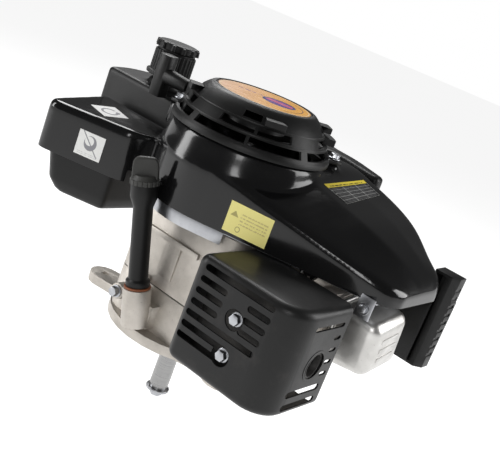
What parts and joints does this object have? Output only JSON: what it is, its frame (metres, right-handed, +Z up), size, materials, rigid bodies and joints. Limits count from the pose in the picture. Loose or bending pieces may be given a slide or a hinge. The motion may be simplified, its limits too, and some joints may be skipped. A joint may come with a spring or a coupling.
{
  "type": "vertical shaft petrol engine",
  "caption": "Small air-cooled overhead-valve petrol engine with a vertical power shaft, recoil starter, side tank, silencer guard and mounting flange.",
  "frame": {"origin": "on the crankshaft's axis, at the underside of the mounting flange", "axes": "+Z up along the crankshaft, +X along the cylinder to its head, -Y to the silencer; the power shaft points down, -Z"},
  "size_m": [0.474, 0.321, 0.3782],
  "materials": {
    "gloss_black": "gloss black paint on pressed steel",
    "satin_black": "satin black heat-resistant paint",
    "plastic_black": "black moulded plastic",
    "cast_aluminium": "as-cast",
    "zinc": "bright zinc plate",
    "steel": "machined",
    "cast_iron": "dark, heat-stained",
    "grey_plastic": "grey moulded plastic",
    "badge": "printed film",
    "rubber": "moulded rubber",
    "gasket": "fibre gasket",
    "foam": "filter foam",
    "ceramic": "glazed ceramic and plated steel",
    "cord": "braided cord"
  },
  "bodies": {
    "housing": {"oil_sump": "cast_aluminium", "sump_gasket": "gasket", "crankcase": "cast_aluminium", "cylinder_head": "cast_aluminium", "head_gasket": "gasket", "valve_cover": "cast_aluminium", "fan_cover": "gloss_black", "fuel_tank": "plastic_black", "recoil_housing": "plastic_black", "starter_badge": "badge", "lower_shroud": "zinc", "oil_filler_tube": "plastic_black", "filler_tube_seal": "rubber", "muffler_guard": "satin_black", "muffler": "cast_iron", "guard_nut_upper": "zinc", "guard_nut_lower": "zinc", "carburetor": "cast_aluminium", "float_bowl": "zinc", "air_cleaner_base": "plastic_black", "air_filter": "foam", "spark_plug": "ceramic", "spark_plug_cap": "rubber", "ignition_coil": "plastic_black", "upper_bearing": "steel", "lower_oil_seal": "rubber", "recoil_bolt_left": "zinc", "recoil_bolt_right": "zinc", "tube_clamp_bolt": "zinc", "intake_spring": "steel", "exhaust_spring": "steel"},
    "crank": {"crankshaft_lower": "steel", "crankshaft_upper": "steel", "crank_gear": "steel", "flywheel": "cast_aluminium", "cooling_fan": "plastic_black", "starter_cup": "zinc", "flywheel_nut": "zinc", "shaft_washer": "zinc", "shaft_bolt": "zinc"},
    "piston_group": {"piston": "cast_aluminium", "piston_ring": "steel", "wrist_pin": "steel", "connecting_rod": "cast_aluminium", "crankpin": "steel"},
    "cam": {"camshaft": "cast_iron"},
    "intake_stem": {"intake_valve": "steel"},
    "exhaust_stem": {"exhaust_valve": "steel"},
    "intake_arm": {"intake_rocker": "steel"},
    "exhaust_arm": {"exhaust_rocker": "steel"},
    "intake_lifter": {"intake_pushrod": "steel"},
    "exhaust_lifter": {"exhaust_pushrod": "steel"},
    "reel": {"starter_reel": "plastic_black"},
    "grip": {"starter_handle": "plastic_black", "starter_rope": "cord"},
    "filler_cap": {"fuel_cap": "plastic_black"},
    "oil_stick": {"dipstick": "grey_plastic"},
    "filter_lid": {"air_cleaner_cover": "plastic_black"},
    "throttle": {"throttle_lever": "zinc"},
    "choke": {"choke_lever": "zinc"}
  },
  "joints": [
    {"name": "crank_spin", "type": "hinge", "parent": "housing", "child": "crank", "pos_m": [0, 0, 0], "axis": [0, 0, 1], "continuous": true},
    {"name": "cam_spin", "type": "hinge", "parent": "housing", "child": "cam", "pos_m": [0.03, 0.05196, 0], "axis": [0, 0, 1], "continuous": true},
    {"name": "piston_slide", "type": "slide", "parent": "housing", "child": "piston_group", "axis": [1, 0, 0], "range_m": [-0.045, 0]},
    {"name": "intake_lift", "type": "slide", "parent": "housing", "child": "intake_stem", "axis": [-1, 0, 0], "range_m": [0, 0.0055]},
    {"name": "intake_rock", "type": "hinge", "parent": "housing", "child": "intake_arm", "pos_m": [0.214, 0.028, 0.12], "axis": [0, 0, -1], "range_deg": [0, 15.1]},
    {"name": "intake_push", "type": "slide", "parent": "housing", "child": "intake_lifter", "axis": [1, 0, 0], "range_m": [0, 0.0055]},
    {"name": "exhaust_lift", "type": "slide", "parent": "housing", "child": "exhaust_stem", "axis": [-1, 0, 0], "range_m": [0, 0.0055]},
    {"name": "exhaust_rock", "type": "hinge", "parent": "housing", "child": "exhaust_arm", "pos_m": [0.214, 0.028, 0.092], "axis": [0, 0, -1], "range_deg": [0, 15.1]},
    {"name": "exhaust_push", "type": "slide", "parent": "housing", "child": "exhaust_lifter", "axis": [1, 0, 0], "range_m": [0, 0.0055]},
    {"name": "grip_pull", "type": "slide", "parent": "housing", "child": "grip", "axis": [-1, 0, 0], "range_m": [0, 0.6]},
    {"name": "reel_spin", "type": "hinge", "parent": "housing", "child": "reel", "pos_m": [0, 0, 0.256], "axis": [0, 0, -1], "range_deg": [0, 820]},
    {"name": "cap_lift", "type": "slide", "parent": "housing", "child": "filler_cap", "axis": [0, 0, 1], "range_m": [0, 0.045]},
    {"name": "dipstick_pull", "type": "slide", "parent": "housing", "child": "oil_stick", "axis": [-0.1939, -0.1498, 0.9695], "range_m": [0, 0.15]},
    {"name": "filter_lid_pull", "type": "slide", "parent": "housing", "child": "filter_lid", "axis": [0, 1, 0], "range_m": [0, 0.06]},
    {"name": "throttle_turn", "type": "hinge", "parent": "housing", "child": "throttle", "pos_m": [0.1484, 0.0863, 0.126], "axis": [0, 0, 1], "range_deg": [0, 40]},
    {"name": "choke_turn", "type": "hinge", "parent": "housing", "child": "choke", "pos_m": [0.1484, 0.0993, 0.126], "axis": [0, 0, 1], "range_deg": [0, 35]}
  ],
  "couplings": [
    {"joint": "cam_spin", "follows": "crank_spin", "ratio": -0.5},
    {"joint": "intake_rock", "follows": "intake_lift", "rad_per_m": 47.5},
    {"joint": "intake_push", "follows": "intake_lift", "ratio": 1},
    {"joint": "exhaust_rock", "follows": "exhaust_lift", "rad_per_m": 47.5},
    {"joint": "exhaust_push", "follows": "exhaust_lift", "ratio": 1},
    {"joint": "reel_spin", "follows": "grip_pull", "rad_per_m": 23.81}
  ]
}
